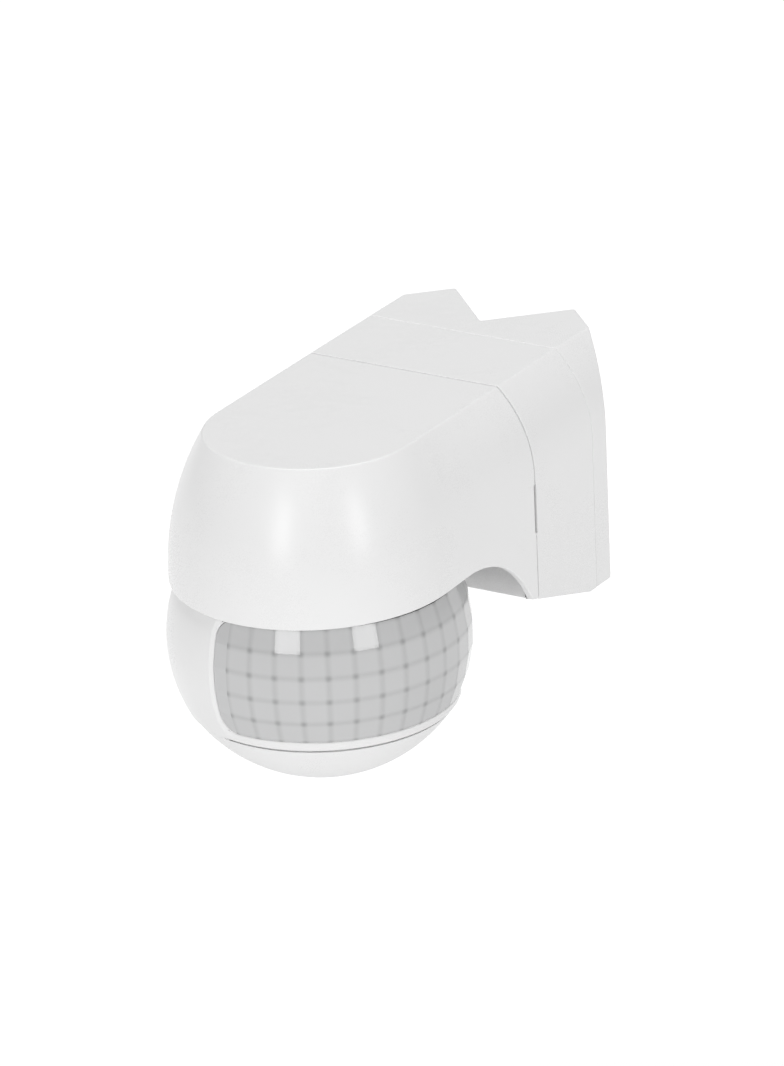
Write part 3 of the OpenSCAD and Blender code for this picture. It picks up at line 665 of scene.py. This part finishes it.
def turned(name, outline, centre):
    """Solid of revolution about an upright axis, from a list of radii and heights."""
    centre = Vector(centre)
    deselect()
    start = centre + Vector((outline[0][0], 0, outline[0][1]))
    bpy.ops.mesh.primitive_plane_add(size=MM, location=start)
    piece = fresh(name)
    with editing(piece):
        bpy.ops.mesh.merge(type="CENTER")
        for (r_from, z_from), (r_to, z_to) in zip(outline, outline[1:]):
            pull((r_to - r_from, 0, z_to - z_from))
        bpy.ops.mesh.select_all(action="SELECT")
        bpy.ops.mesh.spin(steps=64, angle=2 * math.pi, center=centre, axis=(0, 0, 1))
        close_up()
    return piece


def ring_spot(turn, radius):
    """Point on a circle about the ball's upright axis, in the head's own frame."""
    return Vector((radius * math.cos(math.radians(turn)), radius * math.sin(math.radians(turn)), 0))


def slit_ring(sizes):
    """Cutter for the slit under the lens, between shell and cap."""
    mid, half = -sizes.slit_drop, sizes.slit_gap / 2
    ring = add_rod("slit_ring", (0, 0, mid - half), (0, 0, mid + half), BALL_R + 0.7 * MM, sides=90)
    reach = sizes.window_half + math.radians(1.5)
    with editing(ring):
        for side in (-1, 1):
            slice_off((0, 0, 0), (side * math.cos(reach), math.sin(reach), 0))
    combine(ring, add_rod("slit_floor", (0, 0, mid - MM), (0, 0, mid + MM), SLIT_FLOOR_R, sides=90))
    return ring


# ---------------------------------------------------------------- operators

class SENSOR_OT_bracket(bpy.types.Operator):
    """Models the notched rear bracket that fits a flat wall or a building's corner"""

    bl_idname = "sensor.bracket"
    bl_label = "Corner bracket"

    def execute(self, context):
        sizes, tones = context.scene.sensor_housing, context.scene.sensor_colours
        wall, diagonal = sizes.base_wall, math.sqrt(2)
        tip_x = sizes.notch + sizes.tip
        bracket = housing_block("corner_bracket_shell", sizes, front_y=BRACKET_Y)
        hollow = housing_block("bracket_hollow", sizes, wall, sizes.top_wall, BRACKET_LOW_Z + wall,
                               front_y=BRACKET_Y - MM)
        for side in (-1, 1):
            with editing(bracket):
                slice_off((side * tip_x, 0, 0), (side, 1, 0))
            with editing(hollow):
                slice_off((side * (tip_x - wall * diagonal), 0, 0), (side, 1, 0))
        for piece, depth in ((bracket, sizes.notch), (hollow, sizes.notch + wall * diagonal)):
            notch = add_box("notch", (0, 0, -3 * HALF_W), (3 * HALF_W, 3 * HALF_W, 3 * HALF_W))
            notch.rotation_euler.z = math.radians(45)
            notch.location.y = -depth
            activate(notch)
            bpy.ops.object.transform_apply(location=True, rotation=True, scale=True)
            combine(piece, notch)
        tip_mid = sizes.notch + sizes.tip / 2
        for side in (-1, 1):
            combine(hollow, add_rod("boss", (side * tip_mid, MM, 0), (side * tip_mid, -WALL_BOSS_DEPTH, 0),
                                    WALL_BOSS_R))
            for z in BOSS_HEIGHTS:
                combine(hollow, add_rod("boss", (side * BOSS_X, MM, z), (side * BOSS_X, -BOSS_REACH, z),
                                        BOSS_R))
        combine(bracket, hollow)
        for side in (-1, 1):
            combine(bracket, add_rod("hole", (side * tip_mid, 9 * MM, 0), (side * tip_mid, -9 * MM, 0),
                                     WALL_HOLE_R))
            corner = Vector((side * sizes.notch / 2, -sizes.notch / 2, CORNER_HOLE_Z))
            out = Vector((side, -1, 0)).normalized() * 4 * MM
            combine(bracket, add_rod("hole", corner - out, corner + out, WALL_HOLE_R))
            combine(bracket, add_rod("hole", (side * ENTRY_X, ENTRY_Y, BRACKET_LOW_Z - MM),
                                     (side * ENTRY_X, ENTRY_Y, BRACKET_LOW_Z + 3 * MM), ENTRY_R))
        combine(bracket, add_box("passage", *(corner - Y * sizes.notch for corner in BRACKET_PASSAGE)))
        soften(bracket, sizes.edge)
        settle(bracket, "base", "housing", moulded_plastic("housing_bracket", tones.housing, 0.28),
               "corner_bracket")
        return {"FINISHED"}


class SENSOR_OT_base(bpy.types.Operator):
    """Models the wiring base between the bracket and the cover"""

    bl_idname = "sensor.base"
    bl_label = "Wiring base"

    def execute(self, context):
        sizes, tones = context.scene.sensor_housing, context.scene.sensor_colours
        wall, plate_y = sizes.base_wall, BRACKET_Y - sizes.base_wall
        base = housing_block("wall_base_shell", sizes, rear_y=BRACKET_Y, front_y=BASE_Y)
        combine(base, under_floor("under", sizes))
        hollow = housing_block("base_hollow", sizes, wall, sizes.top_wall, BRACKET_LOW_Z + wall,
                               rear_y=plate_y, front_y=BASE_Y - MM)
        combine(hollow, under_floor("under", sizes, lift=wall))
        combine(base, hollow)
        rebate = housing_block("rebate", sizes, GASKET_INSET, GASKET_INSET, rear_y=BASE_Y + GASKET_DEPTH,
                               front_y=BASE_Y - MM)
        combine(rebate, under_floor("under", sizes, lift=GASKET_INSET))
        combine(base, rebate)
        for side in (-1, 1):
            combine(base, side_slit("slit", sizes, side))
        combine(base, add_box("passage", *(corner + Y * plate_y for corner in BASE_PASSAGE)))
        soften(base, 0.7 * sizes.edge)
        settle(base, "base", "housing", moulded_plastic("housing_base", tones.housing, 0.28), "wall_base")
        return {"FINISHED"}


class SENSOR_OT_cover(bpy.types.Operator):
    """Models the pull-off cover with its hood, arch, bulkhead and tongue"""

    bl_idname = "sensor.cover"
    bl_label = "Front cover"

    def execute(self, context):
        sizes, tones = context.scene.sensor_housing, context.scene.sensor_colours
        rear_y, bulkhead_y = BASE_Y - SEAM, -sizes.bulkhead
        cover = housing_block("front_cover_hood", sizes, rear_y=rear_y, shoulder=sizes.nose_shoulder)
        combine(cover, self.under_rim(sizes))
        combine(cover, under_floor("under", sizes))
        combine(cover, housing_block("cover_hollow", sizes, sizes.wall, sizes.top_wall,
                                     BRACKET_LOW_Z - 9 * MM, rear_y=bulkhead_y,
                                     shoulder=sizes.nose_shoulder))
        deselect()
        bpy.ops.mesh.primitive_uv_sphere_add(segments=128, ring_count=64, radius=BALL_R + HOOD_GAP,
                                             location=BALL)
        combine(cover, fresh("ball_space"))
        with editing(cover):
            pick(cover, "FACE", lambda f: abs(middle(f).y - rear_y) < TINY and f.normal.y > 0.9)
            bpy.ops.mesh.inset(thickness=LIP_INSET)
            bpy.ops.mesh.inset(thickness=LIP_WALL)
            inside = {v.index for v in bmesh.from_edit_mesh(cover.data).verts if v.select}
            pick(cover, "FACE", lambda f: abs(middle(f).y - rear_y) < TINY and f.normal.y > 0.9
                 and 0 < sum(v.index in inside for v in f.verts) < len(f.verts))
            pull((0, LIP_LENGTH, 0))
        for side in (-1, 1):
            combine(cover, side_slit("slit", sizes, side))
        soften(cover, sizes.edge)
        settle(cover, "cover", "housing", moulded_plastic("housing_cover", tones.housing, 0.28),
               "front_cover")
        return {"FINISHED"}

    @staticmethod
    def under_rim(sizes):
        """Cutter for everything under the hood's rim and the arch."""
        rise = sizes.front_height - sizes.arch_drop
        arch_y = -sizes.bulkhead - math.sqrt(2 * sizes.arch_radius * rise - rise ** 2)
        arch_z = TOP_Z - sizes.arch_drop - sizes.arch_radius
        slope = (sizes.rim_drop - sizes.arch_drop) / (arch_y - FRONT_Y)
        run = arch_y - FRONT_Y + 10 * MM
        rim = add_box("under_rim", (-2 * HALF_W, arch_y - run, -4 * HALF_W),
                      (2 * HALF_W, arch_y, TOP_Z - sizes.arch_drop))
        with editing(rim):
            pick(rim, "VERT", lambda v: v.co.y < arch_y - TINY and v.co.z > -10 * MM)
            bpy.ops.transform.translate(value=(0, 0, -slope * run))
        arch = add_rod("arch", (-2 * HALF_W, arch_y, arch_z), (2 * HALF_W, arch_y, arch_z),
                       sizes.arch_radius, sides=192)
        with editing(arch):
            slice_off((0, 0, arch_z), (0, 0, -1))
            slice_off((0, -sizes.bulkhead, 0), (0, 1, 0))
            pick(arch, "FACE", lambda f: f.normal.z < -0.9)
            pull((0, 0, -2 * HALF_W))
        combine(rim, arch, "UNION")
        return rim


class SENSOR_OT_head_shell(bpy.types.Operator):
    """Models the ball's shell with its lens window and the slot for the neck"""

    bl_idname = "sensor.head_shell"
    bl_label = "Head shell"

    def execute(self, context):
        sizes, tones = context.scene.sensor_head, context.scene.sensor_colours
        deselect()
        bpy.ops.mesh.primitive_uv_sphere_add(segments=160, ring_count=80, radius=BALL_R)
        shell = fresh("head_shell_ball")
        edge_z = -sizes.slit_drop + HAIRLINE / 2
        with editing(shell):
            slice_off((0, 0, edge_z), (0, 0, -1), fill=False)
        apply_modifier(shell, "SOLIDIFY", thickness=sizes.wall, offset=-1, use_even_offset=True)
        combine(shell, slit_ring(sizes))
        combine(shell, window_cutter(sizes, flare=sizes.window_flare))
        combine(shell, rim_block("rebate", sizes, sizes.lens_play, BALL_R - sizes.wall - MM,
                                 BALL_R - sizes.rim_sink + PLAY))
        reach = NECK_SLOT_HALF - NECK_SLOT_R
        slot = add_rod("slot", (0, reach, 0), (0, reach, 2 * BALL_R), NECK_SLOT_R)
        with editing(slot):
            pick(slot, "VERT", lambda v: v.co.y < reach - TINY)
            bpy.ops.transform.translate(value=(0, -2 * reach, 0))
        combine(shell, slot)
        soften(shell, HEAD_EDGE)
        mount_on_head(shell)
        settle(shell, "head", "head", moulded_plastic("head_white", tones.head, 0.30), "head_shell")
        return {"FINISHED"}


class SENSOR_OT_lens(bpy.types.Operator):
    """Models the faceted lens behind the window"""

    bl_idname = "sensor.lens"
    bl_label = "Fresnel lens"

    def execute(self, context):
        sizes, tones = context.scene.sensor_head, context.scene.sensor_colours
        face, rim = BALL_R - sizes.lens_sink, BALL_R - sizes.rim_sink
        pitch = as_degrees(sizes.column_pitch)
        low, high = as_degrees(sizes.window_low), as_degrees(sizes.window_high)
        row = (high - low) / sizes.rows
        deselect()
        bpy.ops.mesh.primitive_plane_add(size=1, location=(0, 0, 0))
        lens = fresh("fresnel_lens_sheet")
        with editing(lens):
            bpy.ops.transform.resize(value=(pitch * (sizes.columns + 2), row * (sizes.rows + 1), 1))
            bpy.ops.transform.translate(value=(0, (low + high) / 2, face))
            for column in range(sizes.columns + 1):
                bpy.ops.mesh.select_all(action="SELECT")
                bpy.ops.mesh.bisect(plane_co=((column - sizes.columns / 2) * pitch, 0, 0), plane_no=X)
            for step in range(sizes.rows + 1):
                bpy.ops.mesh.select_all(action="SELECT")
                bpy.ops.mesh.bisect(plane_co=(0, low + step * row, 0), plane_no=Y)
            close_up()
            bpy.ops.mesh.select_all(action="SELECT")
            bpy.ops.mesh.bevel(affect="EDGES", offset=0.035 * pitch, segments=2)
        wrap_round_ball(lens)
        apply_modifier(lens, "SOLIDIFY", thickness=sizes.lens_wall, offset=-1)
        combine(lens, window_cutter(sizes, play=sizes.lens_play), "INTERSECT")
        combine(lens, rim_block("rim", sizes, 0.0, rim - sizes.lens_wall, rim), "UNION")
        with editing(lens):
            slice_off((0, 0, -sizes.slit_drop + sizes.slit_gap / 2 + PLAY), (0, 0, -1))
        cell = lens.data.attributes.new("cell", "FLOAT_VECTOR", "POINT")
        for vertex, place in zip(lens.data.vertices, cell.data):
            turn, rise = math.atan2(vertex.co.x, -vertex.co.y), math.asin(vertex.co.z / vertex.co.length)
            place.vector = (as_degrees(turn) / pitch, (as_degrees(rise) - low) / row, 0)
        shade(lens, 8)
        mount_on_head(lens)
        settle(lens, "head", "lens", milky_lens("milky_lens", tones.lens, sizes), "fresnel_lens")
        return {"FINISHED"}


class SENSOR_OT_cap(bpy.types.Operator):
    """Models the flatter cap that closes the ball's underside"""

    bl_idname = "sensor.cap"
    bl_label = "Bottom cap"

    def execute(self, context):
        sizes, tones = context.scene.sensor_head, context.scene.sensor_colours
        edge_z = -sizes.slit_drop - HAIRLINE / 2
        rise = (sizes.cap_edge ** 2 + edge_z ** 2 - sizes.cap_drop ** 2) / (2 * (sizes.cap_drop + edge_z))
        deselect()
        bpy.ops.mesh.primitive_uv_sphere_add(segments=160, ring_count=96, radius=sizes.cap_drop + rise,
                                             location=(0, 0, rise))
        cap = fresh("bottom_cap_dish")
        with editing(cap):
            slice_off((0, 0, edge_z), (0, 0, 1), fill=False)
        apply_modifier(cap, "SOLIDIFY", thickness=CAP_WALL, offset=-1)
        combine(cap, slit_ring(sizes))
        foot, top = edge_z - CAP_WALL, -sizes.slit_drop + SPIGOT_RISE
        combine(cap, turned("spigot", ((SPIGOT_IN, foot), (SPIGOT_OUT, foot), (SPIGOT_OUT, top),
                                       (SPIGOT_IN, top), (SPIGOT_IN, foot)), (0, 0, 0)), "UNION")
        low = -sizes.cap_drop - MM
        for turn in SCREW_TURNS:
            spot = ring_spot(turn, SCREW_RING)
            combine(cap, add_rod("boss_room", spot + Z * (edge_z + TINY), spot + Z * (edge_z + 9 * MM),
                                 SCREW_ROOM_R))
            combine(cap, add_rod("boss", spot + Z * (edge_z - 5 * MM), spot + Z * edge_z, SCREW_BOSS_R),
                    "UNION")
            combine(cap, add_rod("screw_hole", spot + Z * low, spot, SCREW_HOLE_R))
            combine(cap, add_rod("screw_seat", spot + Z * low, spot + Z * (edge_z - SCREW_SEAT),
                                 SCREW_SEAT_R))
        for turn in KNOB_TURNS:
            spot = ring_spot(turn, KNOB_RING)
            combine(cap, add_rod("knob_hole", spot + Z * low, spot - Z * 20 * MM, KNOB_HOLE_R))
        soften(cap, CAP_EDGE)
        mount_on_head(cap)
        settle(cap, "head", "head", moulded_plastic("cap_white", tones.head, 0.30), "bottom_cap")
        return {"FINISHED"}


class SENSOR_OT_knobs(bpy.types.Operator):
    """Models one slotted adjusting knob and copies it to its three places"""

    bl_idname = "sensor.knobs"
    bl_label = "Adjusting knobs"

    def execute(self, context):
        tones = context.scene.sensor_colours
        low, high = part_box("time_knob")[0].z - BALL.z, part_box("time_knob")[1].z - BALL.z
        spot, neck = ring_spot(0, KNOB_RING), low + KNOB_CAP
        knob = turned("knob", ((0, low), (KNOB_R, low), (KNOB_R, neck), (KNOB_STEM_R, neck),
                               (KNOB_STEM_R, high), (0, high)), spot)
        combine(knob, add_box("slot", spot + Vector((-2.8, -0.5, -1)) * MM + Z * low,
                              spot + Vector((2.8, 0.5, 1.2)) * MM + Z * low))
        combine(knob, add_box("pointer", spot + Vector((2.4, -0.8, -1)) * MM + Z * low,
                              spot + Vector((4.4, 0.8, 0.6)) * MM + Z * low))
        soften(knob, SMALL_EDGE)
        finish = moulded_plastic("knob_grey", tones.knob, 0.38)
        for name, turn in zip(("time_knob", "light_knob", "range_knob"), KNOB_TURNS):
            copy = knob.copy()
            copy.data = knob.data.copy()
            copy.name = copy.data.name = name + "_moulding"
            context.scene.collection.objects.link(copy)
            copy.rotation_euler.z = math.radians(turn)
            activate(copy)
            bpy.ops.object.transform_apply(location=True, rotation=True, scale=True)
            mount_on_head(copy)
            settle(copy, name, "knob_plastic", finish, name)
        bpy.data.objects.remove(knob)
        return {"FINISHED"}


class SENSOR_OT_floor_fittings(bpy.types.Operator):
    """Models the rubber cable fitting and its blind twin in the bracket's floor"""

    bl_idname = "sensor.floor_fittings"
    bl_label = "Floor fittings"

    def execute(self, context):
        tones = context.scene.sensor_colours
        finish = rubber("fitting_rubber", tones.fitting)
        for node, bore in (("cable_grommet", 3.5 * MM), ("blanking_plug", 0.0)):
            low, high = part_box(node)
            centre = (low + high) / 2
            outer, base = (high.x - low.x) / 2, low.z
            neck = outer - 0.8 * MM
            floor, snap = base + MM, base + 3 * MM
            outline = [(bore, base), (outer, base), (outer, floor), (neck, floor), (neck, snap),
                       (neck + 0.6 * MM, snap), (neck, high.z), (bore, high.z)]
            if bore:
                outline.append(outline[0])
            fitting = turned(node + "_rubber", outline, (centre.x, centre.y, 0))
            if not bore:
                combine(fitting, add_rod("dish", (centre.x, centre.y, base - MM),
                                         (centre.x, centre.y, base + 2 * MM), neck - 1.5 * MM))
            soften(fitting, SMALL_EDGE)
            settle(fitting, "base", "grommet_rubber", finish, node)
        return {"FINISHED"}


class SENSOR_OT_inner_finishes(bpy.types.Operator):
    """Gives every inner part that keeps its frame shape its own finish"""

    bl_idname = "sensor.inner_finishes"
    bl_label = "Inner finishes"

    def execute(self, context):
        tones = context.scene.sensor_colours
        finishes = {
            "steel": plated_metal("zinc_steel", (0.62, 0.62, 0.63), 0.30, 0.8),
            "brass": plated_metal("machined_brass", (0.72, 0.55, 0.25), 0.24, 0.75),
            "sensor_can": plated_metal("nickel_can", (0.68, 0.68, 0.68), 0.22, 0.9),
            "inner_plastic": moulded_plastic("inner_grey", tones.inner, 0.42),
            "terminal_plastic": moulded_plastic("terminal_grey", (0.42, 0.44, 0.46), 0.45),
            "circuit_board": lacquered_board("green_board", (0.03, 0.22, 0.10)),
            "relay_case": gloss_case("relay_black", (0.07, 0.07, 0.08), 0.3),
            "film_case": gloss_case("film_yellow", (0.75, 0.58, 0.10)),
            "blue_case": gloss_case("dipped_blue", (0.05, 0.14, 0.42)),
            "can_sleeve": gloss_case("sleeve_navy", (0.04, 0.05, 0.12), 0.25),
            "sensor_filter": gloss_case("dark_filter", (0.03, 0.03, 0.03), 0.06),
            "light_cell": gloss_case("coated_cell", (0.75, 0.35, 0.08), 0.15),
            "led_red": gloss_case("tinted_red", (0.60, 0.05, 0.04), 0.1),
            "ribbon": ribbed_ribbon("ribbed_grey", (0.62, 0.65, 0.70)),
            "rubber": rubber("seal_rubber", (0.05, 0.05, 0.05)),
        }
        for part in frame["record"]["subparts"]:
            if part["material_slot"] in finishes:
                node = frame["nodes"][part["node"]]
                node.data.materials.clear()
                node.data.materials.append(finishes[part["material_slot"]])
        return {"FINISHED"}


class SENSOR_OT_stage(bpy.types.Operator):
    """Sets up the pale floor with its painted glow, the soft studio light and the camera"""

    bl_idname = "sensor.stage"
    bl_label = "Stage"

    def execute(self, context):
        self.floor()
        self.lights()
        self.camera(context)
        return {"FINISHED"}

    @staticmethod
    def floor():
        """A pale floor well below the sensor, with a painted glow: it emits light, faint beneath the sensor and
        full farther out.
        """
        deselect()
        bpy.ops.mesh.primitive_plane_add(size=12, location=(0, 0, -0.42))
        floor = fresh("studio_floor")
        finish = Finish("pale_floor")
        clouds = finish.noise(3, detail=2)
        reach = finish.node("ShaderNodeVectorMath", {"operation": "LENGTH"}, {0: finish.place()}, out=1)
        # Painted glow: the floor emits light, faint beneath the sensor and full farther away, so it lights the
        # sensor as well as whitening the floor.
        glow = finish.mix(finish.ramp(reach, 0.55, 0.85), (0.05, 0.05, 0.05), (1.0, 1.0, 1.0))
        floor.data.materials.append(finish.shader(
            Base_Color=finish.mix(clouds, (0.93, 0.93, 0.93), (0.96, 0.96, 0.96)), Roughness=0.9,
            Emission_Color=glow, Emission_Strength=0.62))

    @staticmethod
    def lights():
        """An even white surround and soft panels round the camera."""
        world = bpy.data.worlds.new("surround")
        bpy.context.scene.world = world
        world.use_nodes = True
        world.node_tree.nodes["Background"].inputs["Color"].default_value = (1.0, 1.0, 1.0, 1.0)
        world.node_tree.nodes["Background"].inputs["Strength"].default_value = 0.40
        panels = (("left", 4, 15, 0.9, (0.19, 0.35), 1.2), ("right", 67, 16, 0.9, (0.17, 0.35), 1.0),
                  ("front", 16, 38, 1.2, (0.9, 0.7), 1.2), ("top", 200, 78, 1.1, (0.9, 0.9), 6.8))
        for name, turn, rise, reach, size, power in panels:
            light = bpy.data.lights.new("panel_" + name, "AREA")
            light.shape, light.size, light.size_y, light.energy = "RECTANGLE", size[0], size[1], power
            panel = bpy.data.objects.new("panel_" + name, light)
            bpy.context.scene.collection.objects.link(panel)
            turn, rise = math.radians(turn), math.radians(rise)
            out = Vector((math.sin(turn) * math.cos(rise), -math.cos(turn) * math.cos(rise),
                          math.sin(rise)))
            panel.location = Vector((0, BALL.y, 0)) + out * reach
            panel.rotation_euler = out.to_track_quat("Z", "Y").to_euler()

    @staticmethod
    def camera(context):
        """A long lens that looks down at the sensor from its front right."""
        turn, rise, roll = math.radians(31.76), math.radians(22.21), math.radians(2.33)
        back = Vector((math.sin(turn) * math.cos(rise), -math.cos(turn) * math.cos(rise), math.sin(rise)))
        right = Vector((math.cos(turn), math.sin(turn), 0))
        up = back.cross(right)
        across = right * math.cos(roll) - up * math.sin(roll)
        above = up * math.cos(roll) + right * math.sin(roll)
        lens = bpy.data.cameras.new("camera")
        lens.sensor_width, lens.lens, lens.dof.use_dof = 36.0, 303.94, False
        lens.clip_start, lens.clip_end = 0.05, 50
        camera = bpy.data.objects.new("camera", lens)
        context.scene.collection.objects.link(camera)
        target = Vector((0, -50 * MM, -5 * MM)) + across * 0.168 * MM - above * 1.807 * MM
        place = Matrix((across, above, back)).transposed().to_4x4()
        place.translation = target + back * 1762.3 * MM
        camera.matrix_world = place
        context.scene.camera = camera
        context.scene.view_settings.view_transform = "Standard"


OPERATORS = (SENSOR_OT_bracket, SENSOR_OT_base, SENSOR_OT_cover, SENSOR_OT_head_shell, SENSOR_OT_lens,
             SENSOR_OT_cap, SENSOR_OT_knobs, SENSOR_OT_floor_fittings, SENSOR_OT_inner_finishes,
             SENSOR_OT_stage)


class SENSOR_PT_panel(bpy.types.Panel):
    """Lists the sensor's sizes and the steps that model it"""

    bl_idname = "SENSOR_PT_panel"
    bl_label = "Motion sensor"
    bl_space_type = "VIEW_3D"
    bl_region_type = "UI"
    bl_category = "Sensor"

    def draw(self, context):
        for name in SETTINGS:
            group = getattr(context.scene, name)
            column = self.layout.column(align=True)
            for key in type(group).__annotations__:
                column.prop(group, key)
        for operator in OPERATORS:
            self.layout.operator(operator.bl_idname)


SETTINGS = {"sensor_housing": HousingSizes, "sensor_head": HeadSizes, "sensor_colours": FinishColours}
CLASSES = (*SETTINGS.values(), *OPERATORS, SENSOR_PT_panel)


def register():
    for cls in CLASSES:
        bpy.utils.register_class(cls)
    for name, group in SETTINGS.items():
        setattr(bpy.types.Scene, name, bpy.props.PointerProperty(type=group))


def unregister():
    for name in SETTINGS:
        delattr(bpy.types.Scene, name)
    for cls in reversed(CLASSES):
        bpy.utils.unregister_class(cls)


def main():
    """Models every piece in order."""
    register()
    for operator in OPERATORS:
        family, step = operator.bl_idname.split(".")
        getattr(getattr(bpy.ops, family), step)()


if __name__ == "__main__":
    main()
